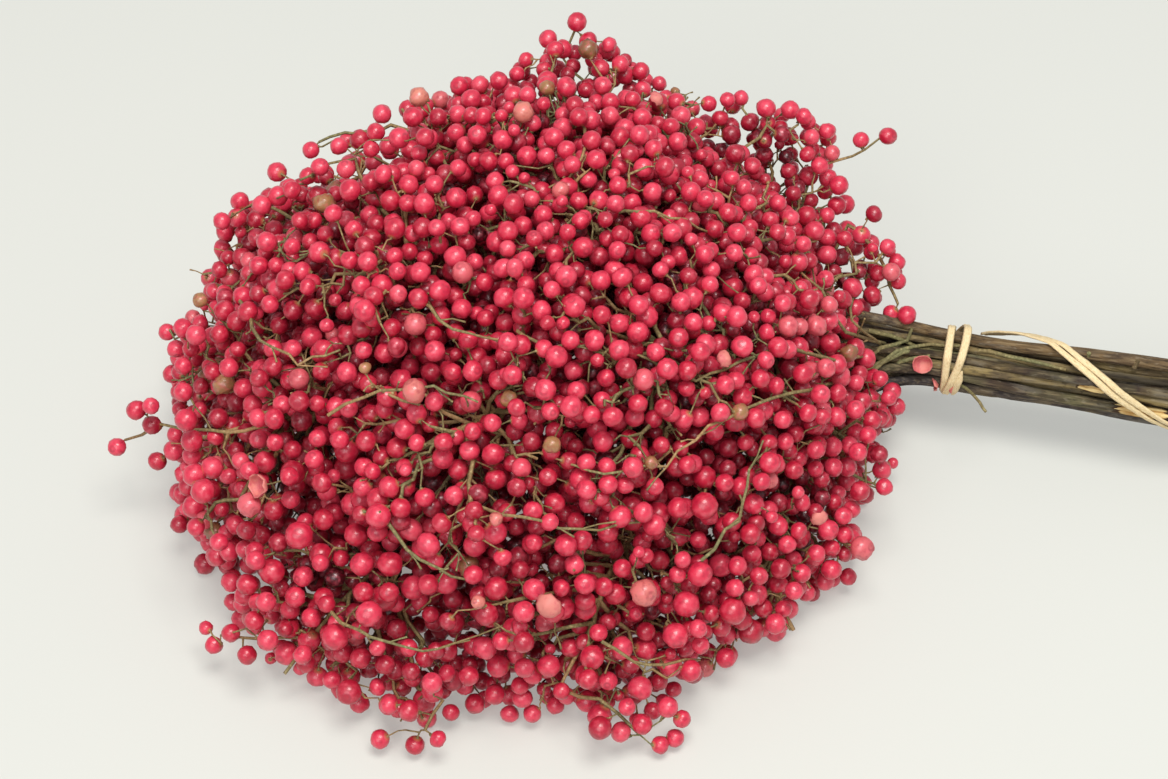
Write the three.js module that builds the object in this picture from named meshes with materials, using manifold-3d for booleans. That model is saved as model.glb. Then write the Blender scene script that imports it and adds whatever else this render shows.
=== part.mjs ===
// A tied bunch of Peruvian pepper, lying on a table: cut woody stems, a spray of pink berries on
// each, and the raffia that holds them at the neck. Millimetres, +Z up, the table at z = 0.
// The stems point to +X, and the sprays spread to -X from the neck into one domed head.

import * as THREE from 'three';
import { mergeVertices } from 'three/addons/utils/BufferGeometryUtils.js';
import Module from 'manifold-3d';

const wasm = await Module();
wasm.setup();

const vector = (x, y, z) => new THREE.Vector3(x, y, z);
const { cos, sin, sqrt, min, max, PI } = Math;

// The head, as half of an ellipsoid that stands on the table
const HEAD_MIDDLE = vector(-69, 1, 0);
const HEAD_HALF = vector(116, 118, 119);
const HEART = vector(-55, 14, 46); // the sprays spread from here
const LOWEST_TIP = 13;

// The bundle of cut stems
const STEM_COUNT = 23;
const NECK = vector(57, 44, 30); // where the stems start to spread, just ahead of the tie
const STEM_LENGTH = 124; // from the neck to the furthest cut end
const BUNDLE_RADIUS = 8.3; // at the neck, to the middles of the outer stems
const BUNDLE_FLARE = 0.3; // the share by which the bundle and its stems are wider at the cut ends
const BUNDLE_TWIST = 0.42; // radians, from the neck to the cut ends
const STEM_SIDES = 5;
const STEM_STEPS = 5; // stations from the neck to the spray
const CLEAR = 0.35; // between pieces that touch

// The sprays
const SPRAY_STARTS = 0.42; // the share of the way from neck to tip where the stem turns to spray
const WIDEST_SPREAD = 2.6; // radians from -X to the sprays that fold back over the neck
const AXIS_STEPS = 40; // points along a route
const SPRAY_STEP = Math.round(AXIS_STEPS * SPRAY_STARTS);
const STALK_RADIUS = 1.3;
const CORE_RADIUS = 9;
const CORE_SIDES = 5;
const CORE_STATIONS = 6;

// The clusters of packed twigs round each spray, and the berries that stand out of them
const CLUSTER_PLACES = 67;
const CLUSTERS_ON_SPRAY = 5;
const CLUSTER_RADIUS = { least: 4.5, most: 15 };
const LONGEST_BRANCH = 38;
const BRANCH_RADIUS = 1.3;
const BERRIES_ON_CLUSTER = 3;
const BERRY_RADIUS = { least: 2.7, most: 3.3 };
const FLAT_SPOT = 0.9; // how far the lowest berries are cut by the table
const TWIG_RADIUS = 0.75;
const TWIG_SIDES = 3;
const TWIG_PLACES = 160;
const TWIGS_ON_SPRAY = 1;
const LONGEST_TWIG = 30;

const GOLDEN_ANGLE = PI * (3 - sqrt(5));

// A repeatable draw from 0 to 1 for item a, purpose b.
function draw(a, b) {
  const value = sin(a * 12.9898 + b * 78.233) * 43758.5453;
  return value - Math.floor(value);
}

const between = (range, share) => range.least + (range.most - range.least) * share;

// A closed geometry as a solid.
function solid(geometry) {
  const bare = geometry.clone();
  bare.deleteAttribute('normal');
  bare.deleteAttribute('uv');
  const merged = mergeVertices(bare, 1e-4);
  return new wasm.Manifold(new wasm.Mesh({
    numProp: 3,
    vertProperties: merged.attributes.position.array,
    triVerts: new Uint32Array(merged.index.array),
  }));
}

// A solid as a named mesh with flat faces.
function piece(name, made, material) {
  const { vertProperties, triVerts } = made.getMesh();
  const geometry = new THREE.BufferGeometry();
  geometry.setAttribute('position', new THREE.BufferAttribute(vertProperties, 3));
  geometry.setIndex(new THREE.BufferAttribute(triVerts, 1));
  const faceted = geometry.toNonIndexed();
  faceted.computeVertexNormals();
  const mesh = new THREE.Mesh(faceted, material);
  mesh.name = name;
  return mesh;
}

// A closed solid through rings of points, joined end to start if it is a loop.
function skin(rings, isLoop = false) {
  const sides = rings[0].length;
  const faces = [];
  for (let i = 0; i < rings.length - (isLoop ? 0 : 1); i++) {
    const on = ((i + 1) % rings.length) * sides;
    for (let k = 0; k < sides; k++) {
      const next = (k + 1) % sides;
      faces.push(i * sides + k, i * sides + next, on + next, i * sides + k, on + next, on + k);
    }
  }
  const end = (rings.length - 1) * sides;
  for (let k = 1; k < sides - 1 && !isLoop; k++) {
    faces.push(0, k + 1, k, end, end + k, end + k + 1);
  }
  const geometry = new THREE.BufferGeometry().setFromPoints(rings.flat());
  geometry.setIndex(faces);
  return solid(geometry);
}

// A round limb through stations { point, radius, facing }, its rings square to facing or to its path.
function limb(stations, sides) {
  const last = stations.length - 1;
  const side = vector(0.1, 0.2, 1);
  const rings = stations.map(({ point, radius, facing }, i) => {
    const [before, after] = [stations[max(i - 1, 0)].point, stations[min(i + 1, last)].point];
    const tangent = facing ?? after.clone().sub(before).normalize();
    side.addScaledVector(tangent, -side.dot(tangent)).normalize();
    const other = tangent.clone().cross(side);
    return Array.from({ length: sides }, (_, k) => point.clone()
      .addScaledVector(side, radius * cos((2 * PI * k) / sides))
      .addScaledVector(other, radius * sin((2 * PI * k) / sides)));
  });
  return skin(rings);
}

// The stems as discs across the neck, on a sunflower spiral, each as thick as there is room for.
function packedDiscs() {
  const discs = Array.from({ length: STEM_COUNT }, (_, i) => {
    const out = BUNDLE_RADIUS * sqrt((i + 0.5) / STEM_COUNT);
    return { y: out * sin(i * GOLDEN_ANGLE), z: out * cos(i * GOLDEN_ANGLE) };
  });
  discs.forEach((disc, i) => {
    const gaps = discs.filter((other) => other !== disc)
      .map((other) => Math.hypot(other.y - disc.y, other.z - disc.z));
    disc.radius = ((min(...gaps) - CLEAR) / 2) * (0.84 + 0.14 * draw(i, 1));
  });
  return discs;
}

// A stem where it passes a place along the twisted, flaring bundle.
function bundled(disc, along) {
  const share = along / STEM_LENGTH;
  const [c, s] = [cos(BUNDLE_TWIST * share), sin(BUNDLE_TWIST * share)];
  const wider = 1 + BUNDLE_FLARE * share;
  const point = NECK.clone().add(vector(
    along,
    wider * (disc.y * c - disc.z * s),
    wider * (disc.y * s + disc.z * c),
  ));
  return { point, radius: disc.radius * wider };
}

// A point of the head in a direction from its heart, at a share of the way out. What would go
// through the table lies along it.
function inHead(direction, share, lowest) {
  const from = HEART.clone().sub(HEAD_MIDDLE).divide(HEAD_HALF);
  const along = direction.clone().divide(HEAD_HALF);
  const a = along.dot(along);
  const b = from.dot(along);
  const reach = (-b + sqrt(b * b - a * (from.dot(from) - 1))) / a;
  const point = HEART.clone().addScaledVector(direction, reach * share);
  return point.setZ(max(point.z, lowest));
}

// A direction in the head: spread is its angle from -X, turn its place round that axis.
const headed = (spread, turn) =>
  vector(-cos(spread), sin(spread) * sin(turn), sin(spread) * cos(turn));

// The sideways shift from the neck's line towards the heart's, the same for all stems at a place x.
function shiftAt(x) {
  const share = THREE.MathUtils.smoothstep(NECK.x - x, 0, NECK.x - HEART.x);
  return HEART.clone().sub(NECK).multiplyScalar(share).setX(0);
}

// One cut stem to the tip of its spray: the further out in the bundle, the wider its spray spreads.
function route(disc, i) {
  const share = (i + 0.5) / STEM_COUNT;
  const spread = Math.acos(1 - share * (1 - cos(WIDEST_SPREAD)));
  const direction = headed(spread, i * GOLDEN_ANGLE);
  const tip = inHead(direction, 0.93 + 0.07 * draw(i, 2), LOWEST_TIP);
  const neck = bundled(disc, 0).point;
  const end = tip.clone().sub(shiftAt(tip.x));
  const length = end.distanceTo(neck);
  const ahead = neck.clone().sub(bundled(disc, 10).point).normalize();
  const bend = neck.clone().addScaledVector(ahead, length * 0.42);
  const arrive = end.clone().addScaledVector(direction, -length * 0.34);
  const axis = new THREE.CubicBezierCurve3(neck, bend, arrive, end).getPoints(AXIS_STEPS);
  for (const point of axis) point.add(shiftAt(point.x));
  return { i, disc, axis, length, cut: STEM_LENGTH * (1 - 0.16 * draw(i, 3)) };
}

const routes = packedDiscs().map(route);

const distanceToAxis = (point, r, first = 0) => {
  let least = Infinity;
  let at = first;
  for (let k = first; k <= AXIS_STEPS; k++) {
    const d = point.distanceTo(r.axis[k]);
    if (d < least) [least, at] = [d, k];
  }
  return { least, at };
};

// The point of a route at a share of the way from the neck to the tip.
function alongAxis({ axis }, share) {
  const place = share * AXIS_STEPS;
  const before = min(Math.floor(place), AXIS_STEPS - 1);
  return axis[before].clone().lerp(axis[before + 1], place - before);
}

// The seat where a stem ends and its spray goes on, as a point and the way that both face there.
function seat(r) {
  const point = alongAxis(r, SPRAY_STARTS);
  const ahead = alongAxis(r, SPRAY_STARTS + 0.02);
  return { point, facing: ahead.sub(alongAxis(r, SPRAY_STARTS - 0.02)).normalize() };
}

function stemStations(r) {
  const { disc, cut } = r;
  const stations = [1, 0.5, 0].map((share) => bundled(disc, cut * share));
  for (let k = 1; k < STEM_STEPS; k++) {
    const share = k / STEM_STEPS;
    stations.push({
      point: alongAxis(r, share * SPRAY_STARTS),
      radius: disc.radius * (1 - 0.25 * share),
    });
  }
  stations.push({ ...seat(r), radius: disc.radius * 0.75 });
  return stations;
}

// The stalk of a spray swells into a core of packed twigs, as wide as its neighbours leave free.
function coreStations(r) {
  const { point: end, facing } = seat(r);
  const stations = [{ point: end.addScaledVector(facing, CLEAR + 0.05), radius: STALK_RADIUS, facing }];
  for (let k = 1; k < CORE_STATIONS; k++) {
    const share = k / (CORE_STATIONS - 1);
    const point = alongAxis(r, SPRAY_STARTS + share * (1 - SPRAY_STARTS));
    let free = point.z - 1;
    for (const other of routes) {
      if (other !== r) free = min(free, 0.46 * distanceToAxis(point, other).least - 0.4);
    }
    const swell = CORE_RADIUS * sin(PI * share ** 1.3) * (k % 2 ? 0.85 : 1);
    stations.push({ point, radius: max(STALK_RADIUS * (1 - 0.35 * share), min(swell, free)) });
  }
  return stations;
}

// Everything placed so far, as balls of a node, so that no node grows through another.
const taken = [];
function ballsAlong(stations, node) {
  const balls = [];
  for (let i = 1; i < stations.length; i++) {
    const [a, b] = [stations[i - 1], stations[i]];
    const steps = Math.ceil(a.point.distanceTo(b.point) / 1.2);
    for (let k = 0; k <= steps; k++) {
      balls.push({
        point: a.point.clone().lerp(b.point, k / steps),
        radius: a.radius + ((b.radius - a.radius) * k) / steps,
        node,
      });
    }
  }
  return balls;
}
const isFree = (ball) => taken.every((other) =>
  other.node === ball.node
  || other.point.distanceTo(ball.point) > other.radius + ball.radius + CLEAR);

const sprays = routes.map((r) => ({ ...r, core: coreStations(r), solids: [], berries: [] }));
const stems = routes.map((r) => stemStations(r));
stems.forEach((stations, i) => taken.push(...ballsAlong(stations, `stem ${i}`)));
sprays.forEach((spray, i) => {
  spray.node = `spray ${i}`;
  spray.solids.push(limb(spray.core, CORE_SIDES));
  taken.push(...ballsAlong(spray.core, spray.node));
});

// A faceted ball, turned its own way.
function ball(point, radius, seed) {
  const geometry = new THREE.IcosahedronGeometry(radius, 0);
  geometry.rotateX(seed * 2.4);
  geometry.rotateZ(seed * 3.7);
  geometry.translate(point.x, point.y, point.z);
  return solid(geometry);
}

// A berry, unless another one is in its place. On the table it has a small flat spot.
function addBerry(spray, point, seed) {
  const radius = between(BERRY_RADIUS, draw(seed, 5));
  point.z = max(point.z, radius - FLAT_SPOT);
  const berry = { point, radius, node: spray.node };
  const ownClear = spray.berries.every((other) =>
    other.point.distanceTo(point) > other.radius + radius - 0.2);
  if (!ownClear || !isFree(berry)) return false;
  spray.berries.push(berry);
  spray.solids.push(ball(point, radius, seed));
  taken.push(berry);
  return true;
}

// A straight branch from the spray's stalk to a target, which leaves the stalk on a slant.
function branch(spray, target, longest, radius) {
  const { least, at } = distanceToAxis(target, spray, SPRAY_STEP + 2);
  if (least > longest) return null;
  const back = Math.round((0.5 * least * AXIS_STEPS) / spray.length);
  const root = spray.axis[max(SPRAY_STEP + 2, at - back)];
  const stations = [root, target].map((point) => ({ point, radius }));
  const balls = ballsAlong(stations, spray.node);
  return balls.every((one) => isFree(one) && one.point.z > 1) ? { stations, balls } : null;
}

// A cluster as large as its neighbours leave free, with berries that stand out of it.
function addCluster(spray, target, seed) {
  const stem = branch(spray, target, LONGEST_BRANCH, BRANCH_RADIUS);
  if (!stem) return false;
  let radius = min(CLUSTER_RADIUS.most, target.z - 0.8);
  for (const other of taken) {
    if (other.node === spray.node) continue;
    radius = min(radius, other.point.distanceTo(target) - other.radius - CLEAR);
  }
  if (radius < CLUSTER_RADIUS.least) return false;
  radius *= 0.85 + 0.15 * draw(seed, 9);
  spray.solids.push(limb(stem.stations, 4), ball(target, radius, seed));
  taken.push(...stem.balls, { point: target, radius, node: spray.node });
  spray.clusters.push({ point: target, radius, seed });
  return true;
}

// The spray that passes nearest to a place.
function nearestSpray(place) {
  const far = sprays.map((spray) => distanceToAxis(place, spray, SPRAY_STEP + 2).least);
  return sprays[far.indexOf(min(...far))];
}

// The places of a head's surface, spread evenly by a spiral and taken in a scattered order.
function headPlaces(count, share, lowest) {
  return Array.from({ length: count }, (_, k) => {
    const rank = (k * 37) % count;
    const direction = headed(Math.acos(1 - (2 * rank + 1) / count), rank * GOLDEN_ANGLE);
    return inHead(direction, share - 0.06 * draw(k, 4), lowest);
  });
}

for (const spray of sprays) Object.assign(spray, { clusters: [], twigs: 0 });
sprays.forEach((spray, i) => addBerry(spray, spray.axis[AXIS_STEPS], i));
headPlaces(CLUSTER_PLACES, 0.88, CLUSTER_RADIUS.most + 1).forEach((place, k) => {
  const spray = nearestSpray(place);
  if (spray.clusters.length < CLUSTERS_ON_SPRAY) addCluster(spray, place, k);
});
headPlaces(TWIG_PLACES, 1.01, BERRY_RADIUS.least - FLAT_SPOT).forEach((place, k) => {
  const spray = nearestSpray(place);
  const twig = spray.twigs < TWIGS_ON_SPRAY && branch(spray, place, LONGEST_TWIG, TWIG_RADIUS);
  if (!twig || !addBerry(spray, place, k + 500)) return;
  spray.twigs += 1;
  spray.solids.push(limb(twig.stations, TWIG_SIDES));
  taken.push(...twig.balls);
});
for (const spray of sprays) {
  for (const { point, radius, seed } of spray.clusters) {
    const outwards = point.clone().sub(HEART).normalize();
    const aside = vector(0, 0, 1).cross(outwards).normalize();
    for (let k = 0; k < BERRIES_ON_CLUSTER; k++) {
      const way = outwards.clone().addScaledVector(aside, k ? 1.6 : 0)
        .applyAxisAngle(outwards, ((k - 1) * 2 * PI) / (BERRIES_ON_CLUSTER - 1) + seed);
      addBerry(spray, point.clone().addScaledVector(way.normalize(), 0.85 * radius + 1.5), seed + k);
    }
  }
}

// The raffia: two turns of the tie, which meet under the bundle, and a doubled strand from them
// that winds on down the stems. Places are from the neck, and angles from +Y towards +Z.
const RAFFIA = { thickness: 0.8, clear: 0.5, over: 0.45 };
const LOOPS = [{ place: 4.4, tilt: -2.4, lift: 0 }, { place: 9.8, tilt: 2.4, lift: RAFFIA.over }];
const LOOP_WIDTH = 2;
const LOOP_STEPS = 20;
const STRAND = { width: 1.6, apart: 1.6, from: 9.4, to: 100, start: 0.2, turns: 0.87, steps: 20 };

// The distance from the bundle's middle to the taut outline, at an angle across the bundle.
function tautRadius(angle, along) {
  const twist = (BUNDLE_TWIST * along) / STEM_LENGTH;
  const wider = 1 + (BUNDLE_FLARE * along) / STEM_LENGTH;
  let least = Infinity;
  for (let k = -16; k <= 16; k++) {
    const normal = angle + (k * PI) / 36;
    const held = max(...routes.map(({ disc }) =>
      disc.y * cos(normal - twist) + disc.z * sin(normal - twist) + disc.radius));
    least = min(least, held / cos(normal - angle));
  }
  return least * wider;
}

function raffiaPoint(angle, along, lift) {
  const taut = tautRadius(angle, along) / cos(PI / LOOP_STEPS); // the straight steps stay clear too
  const out = taut + RAFFIA.clear + RAFFIA.thickness / 2 + lift;
  return NECK.clone().add(vector(along, out * cos(angle), out * sin(angle)));
}

// A flat ribbon through points, lying on the bundle.
function ribbon(points, width, isLoop = false) {
  const count = points.length;
  const rings = points.map((point, i) => {
    const before = points[isLoop ? (i - 1 + count) % count : max(i - 1, 0)];
    const after = points[isLoop ? (i + 1) % count : min(i + 1, count - 1)];
    const tangent = after.clone().sub(before).normalize();
    const out = vector(0, point.y - NECK.y, point.z - NECK.z);
    out.addScaledVector(tangent, -out.dot(tangent)).normalize();
    const across = out.clone().cross(tangent);
    return [[-1, -1], [1, -1], [1, 1], [-1, 1]].map(([w, t]) => point.clone()
      .addScaledVector(across, (w * width) / 2)
      .addScaledVector(out, (t * RAFFIA.thickness) / 2));
  });
  return skin(rings, isLoop);
}

function raffiaTie() {
  const loops = LOOPS.map(({ place, tilt, lift }) =>
    ribbon(Array.from({ length: LOOP_STEPS }, (_, k) => {
      const angle = (2 * PI * k) / LOOP_STEPS;
      return raffiaPoint(angle, place + tilt * sin(angle), lift);
    }), LOOP_WIDTH, true));
  const strands = [-1, 1].map((way) =>
    ribbon(Array.from({ length: STRAND.steps + 1 }, (_, k) => {
      const share = k / STRAND.steps;
      const apart = way * STRAND.apart * min(1, 0.3 + 8 * share);
      const along = STRAND.from + share * (STRAND.to - STRAND.from) + apart;
      return raffiaPoint(STRAND.start + share * STRAND.turns * 2 * PI, along, RAFFIA.over * (1 - share));
    }), STRAND.width));
  return wasm.Manifold.union([...loops, ...strands]);
}

const bark = new THREE.MeshStandardMaterial({ color: 0x5a4a38, roughness: 0.85 });
const berrySkin = new THREE.MeshStandardMaterial({ color: 0xc8324f, roughness: 0.4 });
const raffia = new THREE.MeshStandardMaterial({ color: 0xe2cfa0, roughness: 0.6 });

const numbered = (word, i) => `${word}_${String(i + 1).padStart(2, '0')}`;
const bunch = new THREE.Group();
stems.forEach((stations, i) => bunch.add(piece(numbered('stem', i), limb(stations, STEM_SIDES), bark)));
for (const spray of sprays) {
  const joined = wasm.Manifold.union(spray.solids).trimByPlane([0, 0, 1], 0);
  const largest = joined.decompose().sort((a, b) => b.volume() - a.volume())[0];
  bunch.add(piece(numbered('spray', spray.i), largest, berrySkin));
}
bunch.add(piece('raffia_tie', raffiaTie(), raffia));

export default bunch;
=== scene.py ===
"""A tied bunch of Peruvian pepper on a pale table: woody stems, raffia, zigzag twigs and pink berries."""

import math
import random

import bmesh
import bpy
from mathutils import Matrix, Vector, noise


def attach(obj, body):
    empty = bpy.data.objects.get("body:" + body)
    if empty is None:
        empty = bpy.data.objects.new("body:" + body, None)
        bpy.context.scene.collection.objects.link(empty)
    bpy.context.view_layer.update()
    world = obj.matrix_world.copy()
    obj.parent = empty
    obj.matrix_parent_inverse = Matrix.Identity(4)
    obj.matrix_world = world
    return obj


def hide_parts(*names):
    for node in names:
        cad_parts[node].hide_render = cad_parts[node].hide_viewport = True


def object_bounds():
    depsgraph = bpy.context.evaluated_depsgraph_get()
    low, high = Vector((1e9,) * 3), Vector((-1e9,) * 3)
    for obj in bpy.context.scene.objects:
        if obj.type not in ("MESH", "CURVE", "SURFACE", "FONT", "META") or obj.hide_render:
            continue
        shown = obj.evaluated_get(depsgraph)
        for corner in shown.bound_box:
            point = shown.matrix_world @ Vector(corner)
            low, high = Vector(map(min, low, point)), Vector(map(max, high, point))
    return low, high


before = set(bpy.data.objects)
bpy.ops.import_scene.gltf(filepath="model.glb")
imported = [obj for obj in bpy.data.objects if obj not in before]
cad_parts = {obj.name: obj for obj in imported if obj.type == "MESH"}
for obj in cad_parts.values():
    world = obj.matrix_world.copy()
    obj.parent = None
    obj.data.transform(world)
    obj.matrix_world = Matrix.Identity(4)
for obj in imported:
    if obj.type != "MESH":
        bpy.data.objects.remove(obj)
cad_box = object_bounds()

MM = 0.001
GOLDEN_ANGLE = math.pi * (3 - math.sqrt(5))

# The head, the bundle and the sprays, in millimetres, as the source of the solids has them.
HEAD_MIDDLE = Vector((-69, 1, 0))
HEAD_HALF = Vector((116, 118, 119))
HEART = Vector((-55, 14, 46))
LOWEST_TIP = 13
STEM_COUNT = 23
NECK = Vector((57, 44, 30))
STEM_LENGTH = 124
BUNDLE_RADIUS = 8.3
BUNDLE_FLARE = 0.3
BUNDLE_TWIST = 0.42
CLEAR = 0.35
SPRAY_STARTS = 0.42
WIDEST_SPREAD = 2.6
AXIS_STEPS = 40
SPRAY_STEP = round(AXIS_STEPS * SPRAY_STARTS)

# The berries, in millimetres.
BERRY = (2.45, 3.15)
SKIN_TRIES = 21000  # tries for a berry at the skin of the clusters
FILL_TRIES = 20000  # tries for one between the clusters
DEEP_TRIES = 2400
LOBE_TRIES = 3000  # tries for one where the head swells past the dome
BERRIES_ON_TWIG = 8


# The picture's view, in degrees, millimetres and pixels of a picture 1168 wide and 779 high.
AZIMUTH, ELEVATION, DISTANCE = math.radians(12), math.radians(46), 740
LOOKED_AT = Vector((-46.9, -2.4, 40.1))
PICTURE = (1168, 779)
FOCUS = 2490
BACK = Vector((
    math.sin(AZIMUTH) * math.cos(ELEVATION),
    -math.cos(AZIMUTH) * math.cos(ELEVATION),
    math.sin(ELEVATION),
))
RIGHT = Vector((math.cos(AZIMUTH), math.sin(AZIMUTH), 0))
UP = BACK.cross(RIGHT)
EYE = LOOKED_AT + BACK * DISTANCE


def in_picture(across, down, out=0.0):
    """The point that is seen at a place of the picture and lies nearest to the head's skin."""
    side = (across - PICTURE[0] / 2) / FOCUS
    rise = (PICTURE[1] / 2 - down) / FOCUS
    sight = RIGHT * side + UP * rise - BACK
    best = None
    for depth in range(560, 960, 2):
        point = EYE + sight * depth
        if point.z < 3:
            break
        miss = abs(outwards_of(point) - 1 - out) + (0 if is_inside(point) else 1)
        if best is None or miss < best[0] - 1e-4:
            best = (miss, point)
        if miss < 0.012:
            break
    return best[1]


def outwards_of(point):
    """How far out of the head a point is: 1 at its skin."""
    return Vector([(point[k] - HEAD_MIDDLE[k]) / HEAD_HALF[k] for k in range(3)]).length


def seen_at(point):
    """The place of the picture where a point is seen."""
    from_eye = point - EYE
    depth = -from_eye.dot(BACK)
    return (
        PICTURE[0] / 2 + FOCUS * from_eye.dot(RIGHT) / depth,
        PICTURE[1] / 2 - FOCUS * from_eye.dot(UP) / depth,
    )


# The head's outline in the picture, without its stray sprigs.
OUTLINE = [
    (515, 72), (548, 48), (577, 40), (612, 45), (650, 68), (690, 96), (740, 100), (800, 112),
    (832, 135), (840, 175), (852, 215), (882, 238), (902, 268), (902, 300), (862, 312), (852, 340),
    (882, 375), (900, 400), (893, 460), (893, 492), (862, 495), (845, 520), (870, 550), (848, 578),
    (800, 600), (778, 640), (745, 645), (712, 672), (690, 715), (662, 750), (600, 735), (565, 700),
    (500, 702), (450, 695), (395, 712), (355, 705), (335, 685), (280, 660), (250, 664), (203, 648),
    (198, 625), (262, 598), (282, 588), (268, 572), (246, 562), (236, 535), (222, 512), (196, 498),
    (186, 470), (186, 440), (178, 400), (168, 372), (158, 335), (186, 300), (206, 250), (228, 208),
    (262, 196), (290, 186), (340, 186), (372, 178), (400, 166), (412, 140), (418, 98), (450, 80),
]


def in_outline(place):
    """Whether a place of the picture is inside the outline."""
    x, y = place
    within = False
    for (ax, ay), (bx, by) in zip(OUTLINE, OUTLINE[1:] + OUTLINE[:1]):
        if (ay > y) != (by > y) and x < ax + (bx - ax) * (y - ay) / (by - ay):
            within = not within
    return within


# The middles of berries stay this far inside the box of the solids.
INSIDE = [Vector([part / MM for part in corner]) for corner in cad_box]
MARGIN = 2.2


def is_inside(point):
    low, high = INSIDE
    return (
        low.x + MARGIN < point.x < high.x
        and low.y + MARGIN < point.y < high.y - MARGIN
        and 2 <= point.z < high.z - MARGIN
    )


# Shader sums and materials.


class Wire:
    """A socket that joins in sums."""

    def __init__(self, finish, socket):
        self.finish = finish
        self.socket = socket

    def sum(self, operation, *values):
        return self.finish.node("ShaderNodeMath", {"operation": operation}, dict(enumerate(values)))

    def __add__(self, other):
        return self.sum("ADD", self, other)

    def __sub__(self, other):
        return self.sum("SUBTRACT", self, other)

    def __rsub__(self, other):
        return self.sum("SUBTRACT", other, self)

    def __mul__(self, other):
        return self.sum("MULTIPLY", self, other)

    def __pow__(self, other):
        return self.sum("POWER", self, other)

    __radd__ = __add__
    __rmul__ = __mul__


class Finish:
    """A material with one skin shader, and the means to add nodes to it."""

    def __init__(self, name, **constants):
        self.material = bpy.data.materials.new(name)
        self.material.use_nodes = True
        self.tree = self.material.node_tree
        self.skin = self.tree.nodes["Principled BSDF"]
        for socket, value in constants.items():
            self.skin.inputs[socket.replace("_", " ")].default_value = value

    def node(self, kind, settings=None, inputs=None, output=0):
        made = self.tree.nodes.new(kind)
        for key, value in (settings or {}).items():
            if key == "stops":
                ramp = made.color_ramp
                while len(ramp.elements) < len(value):
                    ramp.elements.new(0.5)
                for stop, (place, colour) in zip(ramp.elements, value):
                    stop.position = place
                    stop.color = colour
            else:
                setattr(made, key, value)
        for key, value in (inputs or {}).items():
            self.join(value, made.inputs[key])
        return Wire(self, made.outputs[output])

    def join(self, value, socket):
        if isinstance(value, Wire):
            self.tree.links.new(value.socket, socket)
        else:
            socket.default_value = value

    def blend(self, factor, first, second, way="MIX"):
        settings = {"data_type": "RGBA", "blend_type": way, "clamp_factor": True}
        return self.node("ShaderNodeMix", settings, {0: factor, 6: first, 7: second}, output=2)

    def ramp(self, value, *stops):
        return self.node("ShaderNodeValToRGB", {"stops": stops}, {0: value})

    def place(self, stretch=(1, 1, 1)):
        where = self.node("ShaderNodeTexCoord", output=3)
        return self.node("ShaderNodeMapping", {}, {"Vector": where, "Scale": stretch})

    def grain(self, scale, detail=2.0, stretch=(1, 1, 1), where=None):
        inputs = {"Vector": where or self.place(stretch), "Scale": scale, "Detail": detail}
        return self.node("ShaderNodeTexNoise", {}, inputs)

    def mark(self, name):
        return self.node("ShaderNodeAttribute", {"attribute_name": name}, output=2)

    def shape(self, value, low, high):
        """How far a value is between low and high, from 0 to 1."""
        inputs = {0: value, 1: low, 2: high}
        return self.node("ShaderNodeMapRange", {"clamp": True}, inputs)

    def finish(self, colour, roughness=None, height=None, strength=0.3, deep=0.0002):
        self.join(colour, self.skin.inputs["Base Color"])
        if roughness is not None:
            self.join(roughness, self.skin.inputs["Roughness"])
        if height is not None:
            bump = self.node(
                "ShaderNodeBump", {}, {"Strength": strength, "Distance": deep, "Height": height}
            )
            self.join(bump, self.skin.inputs["Normal"])
        return self.material


def paint(red, green, blue):
    """A colour as a paint chart gives it, as light."""
    parts = [part / 255 for part in (red, green, blue)]
    return (*[p / 12.92 if p <= 0.04045 else ((p + 0.055) / 1.055) ** 2.4 for p in parts], 1)


def berry_skin():
    berry = Finish(
        "berry_skin",
        Subsurface_Weight=0.03,
        Subsurface_Radius=(1.0, 0.25, 0.2),
        Subsurface_Scale=0.0012,
        Specular_IOR_Level=0.5,
        Coat_Weight=0.35,
        Coat_Roughness=0.16,
    )
    ripeness, tip = berry.mark("ripeness"), berry.mark("tip")
    # Ripeness colours from dry tan to ripe red; the last, darkest stop is painted shade for berries that
    # lie under others.
    colour = berry.ramp(
        ripeness,
        (0.0, paint(104, 66, 40)),
        (0.09, paint(164, 122, 78)),
        (0.12, paint(200, 126, 106)),
        (0.2, paint(204, 92, 98)),
        (0.3, paint(210, 56, 80)),
        (0.6, paint(202, 40, 68)),
        (0.82, paint(180, 26, 52)),
        (1.0, paint(62, 5, 14)),
    )
    cloud = berry.grain(520, 4.0)
    colour = berry.blend(berry.shape(cloud, 0.5, 0.68) * 0.4, colour, paint(222, 90, 108))
    colour = berry.blend(berry.shape(cloud, 0.47, 0.32) * 0.45, colour, paint(140, 14, 42))
    ring = berry.shape(tip, 0.88, 0.94) * berry.shape(tip, 0.985, 0.955)
    ring = ring * berry.shape(cloud, 0.38, 0.6)
    colour = berry.blend(ring * 0.5, colour, paint(120, 14, 36))
    colour = berry.blend(berry.shape(tip, 0.985, 1.0) * 0.35, colour, paint(150, 60, 56))
    colour = berry.blend(berry.shape(tip, -0.86, -0.97) * 0.6, colour, paint(176, 130, 80))
    dimples = berry.grain(1700, 2.0)
    roughness = 0.3 + cloud * 0.16
    return berry.finish(colour, roughness, dimples + cloud * 0.8, 0.3, 0.0002)


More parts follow.
